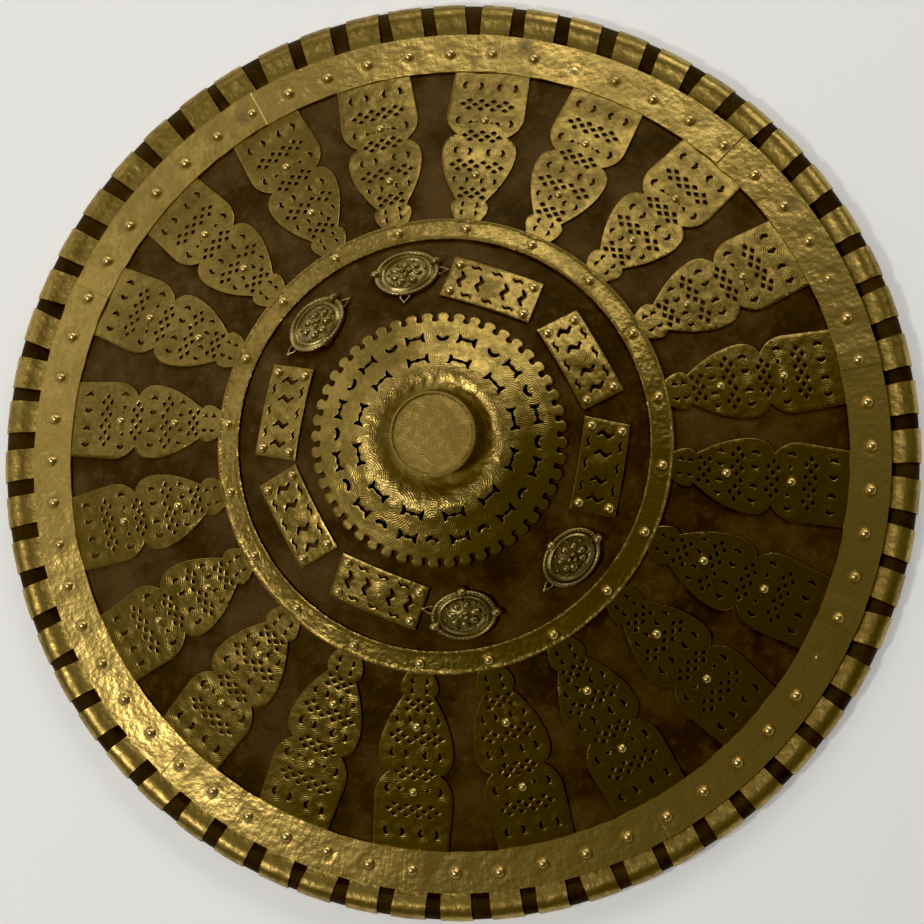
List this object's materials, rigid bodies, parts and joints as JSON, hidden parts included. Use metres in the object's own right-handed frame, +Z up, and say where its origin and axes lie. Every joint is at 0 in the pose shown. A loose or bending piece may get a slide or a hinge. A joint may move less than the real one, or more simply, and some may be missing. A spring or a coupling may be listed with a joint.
{
  "type": "buckler shield",
  "caption": "Round conical hide shield with a rolled rim in brass sleeves, a riveted edge band, pierced long plaques, a toothed central boss with a flat knob, and a strap grip.",
  "frame": {"origin": "middle of the shield on the plane the rim lies on", "axes": "+Z up along the shield's axis out through the boss, +Y to the top of the shield as pictured, +X to its right"},
  "size_m": [0.4196, 0.4196, 0.089],
  "materials": {
    "hide": "dark brown, worn and mottled",
    "brass": "aged, hammered, bright where rubbed",
    "cast_brass": "dark cast, dirt in the hollows",
    "grip_leather": "dark and worn smooth"
  },
  "bodies": {
    "root": {"hide": "hide", "band_strip_1": "brass", "band_strip_2": "brass", "band_strip_3": "brass", "band_strip_4": "brass", "band_strip_5": "brass", "band_strip_6": "brass", "band_strip_7": "brass", "band_strip_8": "brass", "band_strip_9": "brass", "band_strip_10": "brass", "plaque_1": "brass", "plaque_2": "brass", "plaque_3": "brass", "plaque_4": "brass", "plaque_5": "brass", "plaque_6": "brass", "plaque_7": "brass", "plaque_8": "brass", "plaque_9": "brass", "plaque_10": "brass", "plaque_11": "brass", "plaque_12": "brass", "plaque_13": "brass", "plaque_14": "brass", "plaque_15": "brass", "plaque_16": "brass", "plaque_17": "brass", "plaque_18": "brass", "plaque_19": "brass", "plaque_20": "brass", "inner_ring": "brass", "tablet_1": "brass", "tablet_2": "brass", "tablet_3": "brass", "tablet_4": "brass", "tablet_5": "brass", "tablet_6": "brass", "roundel_1": "cast_brass", "roundel_2": "cast_brass", "roundel_3": "cast_brass", "roundel_4": "cast_brass", "boss": "brass", "knob": "brass", "grip_strap_1": "grip_leather", "grip_strap_2": "grip_leather"}
  },
  "joints": []
}
